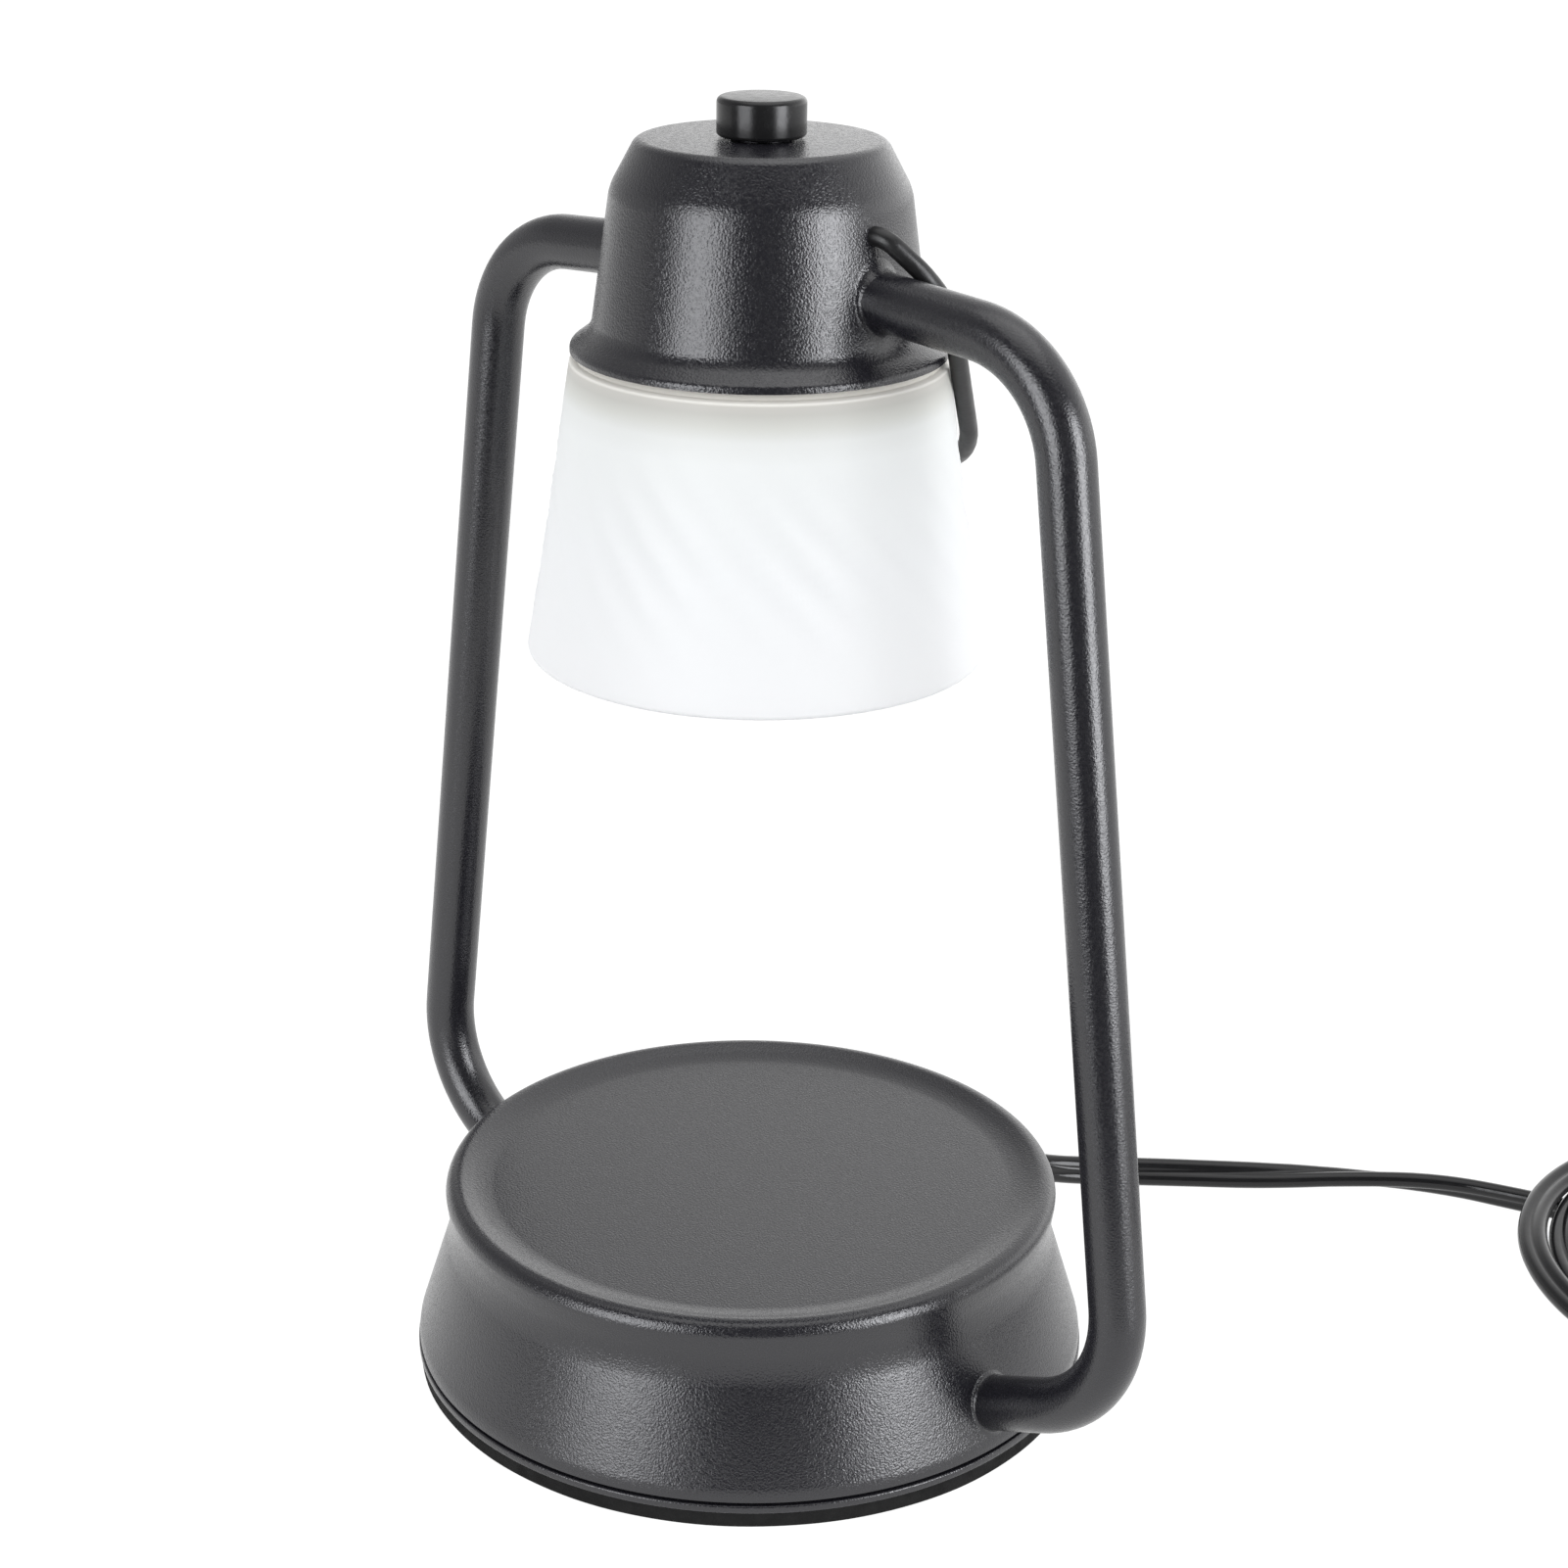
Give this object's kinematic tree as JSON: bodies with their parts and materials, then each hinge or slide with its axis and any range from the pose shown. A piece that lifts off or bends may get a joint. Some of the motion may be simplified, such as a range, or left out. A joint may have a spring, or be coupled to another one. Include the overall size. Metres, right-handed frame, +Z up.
{
  "type": "candle warmer lamp",
  "caption": "Table lamp that warms a jar candle: round base, two bent side tubes, bell cap with a dimmer knob, frosted glass shade, reflector bulb and a folding wire handle.",
  "frame": {"origin": "middle of the base, on the surface that the lamp stands on", "axes": "+X along the frame through both side tubes, +Y to the back where the cord leaves and the handle rests, +Z up"},
  "size_m": [0.3841, 0.3501, 0.2882],
  "materials": {
    "black_powder_coat": "fine orange-peel black powder coat, semi-gloss",
    "black_plastic": "moulded black plastic, satin",
    "black_rubber": "black elastomer, matte",
    "zinc_steel": "bright zinc plate",
    "black_wire": "smooth satin black paint",
    "dark_plastic": "moulded thermoset, satin",
    "black_knob": "smooth satin black",
    "white_ceramic": "unglazed ceramic",
    "contact_brass": "bright brass",
    "bulb_glass": "silvered reflector glass",
    "bulb_lens_glass": "clear pressed glass",
    "frosted_glass": "satin frosted opal glass with faint swirled ribs",
    "cord_jacket": "glossy black vinyl",
    "white_nylon": "natural nylon"
  },
  "bodies": {
    "frame": {"base_shell": "black_powder_coat", "bell_cap": "black_powder_coat", "left_tube": "black_powder_coat", "right_tube": "black_powder_coat", "base_plate": "black_plastic", "base_pad": "black_rubber", "base_posts": "zinc_steel", "plate_screws": "zinc_steel", "dimmer_body": "dark_plastic", "bushing_washer": "zinc_steel", "bushing_nut": "zinc_steel", "socket_yoke": "zinc_steel", "yoke_screws": "zinc_steel", "lampholder": "dark_plastic", "holder_insert": "white_ceramic", "holder_contacts": "contact_brass", "bulb_body": "bulb_glass", "bulb_lens": "bulb_lens_glass", "bulb_pins": "zinc_steel", "glass_shade": "frosted_glass", "shade_gasket": "black_rubber", "shade_ring": "dark_plastic", "strain_relief": "black_plastic", "mains_cord": "cord_jacket", "cord_tail": "cord_jacket", "crimp_connectors": "white_nylon", "riser_lead": "cord_jacket", "dimmer_leads": "cord_jacket", "cord_coil": "cord_jacket", "cord_end": "cord_jacket", "plug_body": "cord_jacket", "plug_blades": "contact_brass"},
    "dial": {"knob": "black_knob", "dimmer_shaft": "zinc_steel"},
    "handle": {"bail_handle": "black_wire"}
  },
  "joints": [
    {"name": "dial_turn", "type": "hinge", "parent": "frame", "child": "dial", "pos_m": [0, 0, 0.2842], "axis": [0, 0, -1], "range_deg": [0, 270]},
    {"name": "handle_swing", "type": "hinge", "parent": "frame", "child": "handle", "pos_m": [0, 0, 0.2642], "axis": [1, 0, 0], "range_deg": [0, 282.6]}
  ]
}
